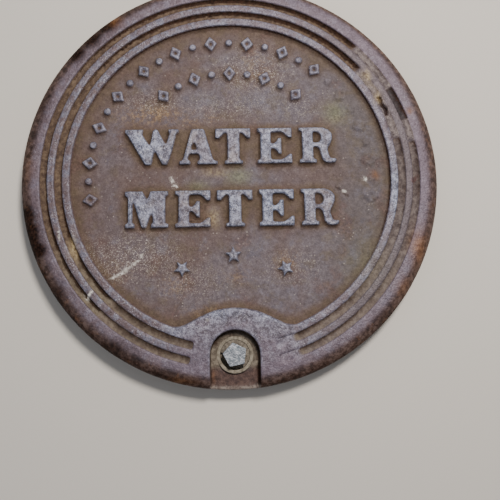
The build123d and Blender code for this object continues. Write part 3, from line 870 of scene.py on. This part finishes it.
def markSurface(mesh, relief):
    places = placesOf(mesh)
    x, y, z = places.T
    radius = np.hypot(x, y)
    angle = np.degrees(np.arctan2(y, x))
    line, column = gridSpots(places)[:2]
    roof = relief[line, column] - z      # how far above the point the top of the casting is

    # where the point is
    onTop = z > zones["top"]
    inField = radius < zones["field"]
    inPocket = (np.abs(x) < zones["pocketHalf"]) & (y < lockY + zones["pocketBack"])
    inPocket &= (z > zones["pocketLow"]) & (z < zones["pocketHigh"])
    inLetters = inBlock(x, y, zones["words"]) | inBlock(x, y, zones["stars"])
    onPad = (np.hypot(x, y - lockY) < zones["pad"]) & (radius > zones["padInner"])
    inGrooves = smoothStep(radius, 126.0, 128.5) * (1 - smoothStep(radius, 146.0, 148.0))
    deepPocket = 1 - smoothStep(y, lockY - 13, lockY - 7)       # toward the rim, bare of silt

    # how it lies to what is round it
    level = blurAround(places, relief, relief, castCover["hollowBlur"])
    near = blurAround(places, relief, relief, castCover["edgeBlur"])
    standing = np.where(relief > fieldTop + 1.2, 1.0, 0.0)
    around = blurAround(places, relief, standing, castCover["haloBlur"])
    toLight = blurAround(places, relief, relief, castCover["wallBlur"], castCover["wallReach"])
    pocketToLight = blurAround(
        places, relief, relief, castCover["pocketWallBlur"], castCover["pocketWallReach"])
    footLow = np.where(inField | (x > 40), 0.45, 0.65)      # the silted grooves at the right are shallow
    raisedLow = np.where(inField, fieldTop + np.where(y < -50, 0.4, 0.7), faceTop - 1.7)
    # painted shade: darker in hollows, and at the foot of walls where the ground toward the key light
    # stands higher
    hollow = 0.6 * smoothStep(level - z, 0.5, 1.4)
    foot = np.where(inField, 0.5, 0.95) * smoothStep(toLight - z, footLow, footLow + 0.6)
    # painted shadow on the pocket floor next to the walls that stand toward the key light
    pocketPaintedShadow = 0.95 * inPocket * smoothStep(pocketToLight - z, 2.0, 4.5)
    rubbed = np.where(inLetters | onPad, 1.0, 0.15 + 0.3 * smoothStep(x, -90, 140))
    lateRoll = 3.0 * smoothStep(np.abs(angle - 70), 60, 10)     # at the upper right the dark band of the rim starts further out
    highFillings = [part for part in fillings if part[3] < siltUnder]
    marks = {
        "raised": smoothStep(z, raisedLow, raisedLow + 0.8),
        "rubbed": np.maximum(rubbed, 0.85 * inField * (angle > 47)),
        "words": inLetters,
        "pad": onPad,
        # edge: raised edges, for a coat that is partly wear and partly painted highlight
        "edge": np.where(onTop, smoothStep(z - near, 0.15, 0.6), 0.0) * np.where(inLetters, 1.0, 0.4),
        "open": 1 - smoothStep(around, 0.05, 0.3),
        "halo": smoothStep(around, 0.08, 0.4) * inField * np.where(inLetters, 1.0, 0.75),
        "paintedShade": np.where(onTop, np.maximum(hollow, foot), pocketPaintedShadow),
        "groove": inGrooves * (1 - smoothStep(z, faceTop - 2.0, faceTop - 0.9)) * ~inPocket,
        "paleSilt": np.maximum(smoothStep(-y, 30, 100), 0.7 * smoothStep(x, 60, 120) * (y < 20)),
        "west": smoothStep(-x, -30, 150),
        "east": smoothStep(x, 45, 112) * inField,
        "secondRing": (smoothStep(radius, 134.0, 135.5) * (1 - smoothStep(radius, 140.0, 141.5))
                       * smoothStep(x, 40, 100)),
        "rim": smoothStep(radius, 144.0, 146.0),
        "filling": grooveMark(radius, angle, highFillings, 2.0) * smoothStep(y, -90, -40),
        "pit": grooveMark(radius, angle, holes, 0.5) * smoothStep(faceTop - z, 0.8, 1.2),
        "pocketSilt": inPocket * (1 - deepPocket),
        "pocketRust": inPocket * deepPocket,
        # the pocket's front lip: some wear, and a painted highlight where the key light catches the edge
        "lip": inPocket * smoothStep(radius, 158.0, 160.0) * (z > 14.5),
        "rimSide": smoothStep(radius - lateRoll, zones["rollOver"], 155.5) * ~inPocket,
        "under": np.maximum(1 - smoothStep(z, 11.0, 14.0),
                            smoothStep(roof, zones["plate"], zones["plate"] + 1.0)
                            * (radius < zones["rollOver"]) * ~inPocket),
        "scratch": lineMark(x, y, scratches) * onTop,
        "crack": lineMark(x, y, cracks) * onTop,
    }
    for name in shapeMarks:
        setAttribute(mesh, name, marks[name])
    for name, patches in spots.items():
        setAttribute(mesh, name, patchMark(x, y, patches))


def keepInside(mesh, node):
    # nothing stands past the CAD box
    low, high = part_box(node)
    setPlaces(mesh, np.clip(placesOf(mesh), np.array(low) / mm, np.array(high) / mm))


cover = joined("castCover", [copyOfNode("lid_casting", "coverCopy")] + letterPrisms())
cover = castSkin(cover, castCover["voxel"], castCover["smoothing"], castIron, {})
fillGrooves(cover.data)
fillPocket(cover.data)
wearStuds(cover.data)
relief = reliefOf(cover.data)
cover = thinned(cover, castCover["triangles"], castCover["underShare"], castCover["underHeight"])
keepInside(cover.data, "lid_casting")
markSurface(cover.data, relief)
settle(cover, "cover", castIron, "lid_casting")
print("casting ready")


# The lock

lockSkins = {
    # piece: node, body, slot, voxel, triangles, material
    "boltCollar": ("bolt_collar", "cover", "dull_bronze", 0.35, 40000, collarBronze),
    "lockBolt": ("lock_bolt", "lock", "worn_bolt_metal", 0.3, 60000, boltMetal),
    "latchDog": ("latch_dog", "lock", "rusted_cast_iron", 0.5, 40000, rustedDog),
}
lockSkin = {
    "Swell Size": 5.0, "Swell Depth": 0.12, "Grain Size": 1.3, "Grain Depth": 0.1,
    "Pit Spacing": 3.4, "Pit Depth": 0.22}
for name, (node, body, slot, voxel, triangles, material) in lockSkins.items():
    piece = castSkin(copyOfNode(node, name), voxel, 2, material, lockSkin)
    keepInside(piece.data, node)
    piece = thinned(piece, triangles)
    settle(piece, body, material, node)

# dirt packed hard between the head and the collar, but for the side toward the lower left
packing = {
    "from": -58.0, "to": 172.0,         # degrees round the bolt
    "inner": 6.8, "outer": 11.4,        # radii
    "low": 15.0, "high": 19.1,          # heights
    "sink": 2.2, "sinkPower": 8,        # it crumbles away at both ends
    "steps": 40,
    "voxel": 0.3,
    "triangles": 20000,
}
packingSkin = {
    "Swell Size": 3.0, "Swell Depth": 0.5, "Grain Size": 1.0, "Grain Depth": 0.2, "Pit Depth": 0.0}


def makePacking():
    work = bmesh.new()
    rings = []
    for step in range(packing["steps"] + 1):
        share = step / packing["steps"]
        angle = math.radians(packing["from"] + (packing["to"] - packing["from"]) * share)
        high = packing["high"] - packing["sink"] * (abs(2 * share - 1) ** packing["sinkPower"])
        ring = []
        for radius, height in ((packing["inner"], packing["low"]), (packing["outer"], packing["low"]),
                               (packing["outer"], high), (packing["inner"], high)):
            place = Vector((radius * math.cos(angle), lockY + radius * math.sin(angle), height)) * mm
            ring.append(work.verts.new(place))
        rings.append(ring)
    for one, other in zip(rings, rings[1:]):
        for side in range(4):
            work.faces.new((one[side], one[(side + 1) % 4], other[(side + 1) % 4], other[side]))
    work.faces.new(rings[0])
    work.faces.new(rings[-1])
    bmesh.ops.recalc_face_normals(work, faces=work.faces)
    mesh = bpy.data.meshes.new("packedDirt")
    work.to_mesh(mesh)
    work.free()
    return meshObject("packedDirt", mesh)


packed = castSkin(makePacking(), packing["voxel"], 1, packedDirt, packingSkin)
settle(thinned(packed, packing["triangles"]), "lock", packedDirt)

for name in ("thrust_washer", "dog_pin"):
    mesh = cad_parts[name].data
    mesh.materials.clear()
    mesh.materials.append(rustedSteel)
print("lock ready")


# Floor, lights and camera

lights = {
    "keyHeight": 65.0,
    "keyDistance": 1.0,      # metres; so near that the far side falls off
    "keySize": 0.22,
    "keyPower": 10.6,
    "keyColour": "#fff8f0",
    "fillPlace": (-1.3, -0.6, 1.3),
    "fillSize": 1.6,
    "fillPower": 3.2,
    "fillColour": "#e8eeff",
    "world": 0.22,
    "worldColour": "#eef0f4",
}
floorHalf = 3.0         # metres
floorColour = "#e2ddd5"


def makeFloor():
    material = bpy.data.materials.new("paleFloor")
    material.use_nodes = True
    shader = material.node_tree.nodes["Principled BSDF"]
    shader.inputs["Base Color"].default_value = linear(floorColour)
    shader.inputs["Roughness"].default_value = 0.9
    sides = ((-1, -1), (1, -1), (1, 1), (-1, 1))
    corners = [(floorHalf * sideX, floorHalf * sideY, 0) for sideX, sideY in sides]
    mesh = bpy.data.meshes.new("floor")
    mesh.from_pydata(corners, [], [(0, 1, 2, 3)])
    mesh.materials.append(material)
    meshObject("floor", mesh)


def addLamp(name, place, size, power, colour):
    lamp = bpy.data.lights.new(name, "AREA")
    lamp.shape = "DISK"
    lamp.size = size
    lamp.energy = power
    lamp.color = linear(colour)[:3]
    holder = meshObject(name, lamp)
    holder.location = place
    holder.rotation_euler = (-Vector(place)).to_track_quat("-Z", "Y").to_euler()


makeFloor()
azimuth = math.radians(lightAzimuth)
rise = math.radians(lights["keyHeight"])
outward = math.cos(rise)
keySide = Vector((outward * math.cos(azimuth), outward * math.sin(azimuth), math.sin(rise)))
keyPlace = keySide * lights["keyDistance"]
addLamp("key", keyPlace, lights["keySize"], lights["keyPower"], lights["keyColour"])
addLamp("fill", lights["fillPlace"], lights["fillSize"], lights["fillPower"], lights["fillColour"])
world = bpy.data.worlds.new("softRoom")
world.use_nodes = True
background = world.node_tree.nodes["Background"]
background.inputs["Color"].default_value = linear(lights["worldColour"])
background.inputs["Strength"].default_value = lights["world"]
scene.world = world

# the camera looks down almost over the lock, as the photo was taken
photoCamera = {
    "place": (-1.86, -122.8, 472.8),
    "angles": (8.273, -1.677, -1.390),      # degrees about x, y and z
    "lens": 43.2,                           # on a sensor 36 wide
}
camera = bpy.data.cameras.new("camera")
camera.sensor_width = 36.0
camera.lens = photoCamera["lens"]
camera.clip_start = 0.01
view = meshObject("camera", camera)
view.location = Vector(photoCamera["place"]) * mm
view.rotation_euler = [math.radians(angle) for angle in photoCamera["angles"]]
scene.camera = view

print("finishing")
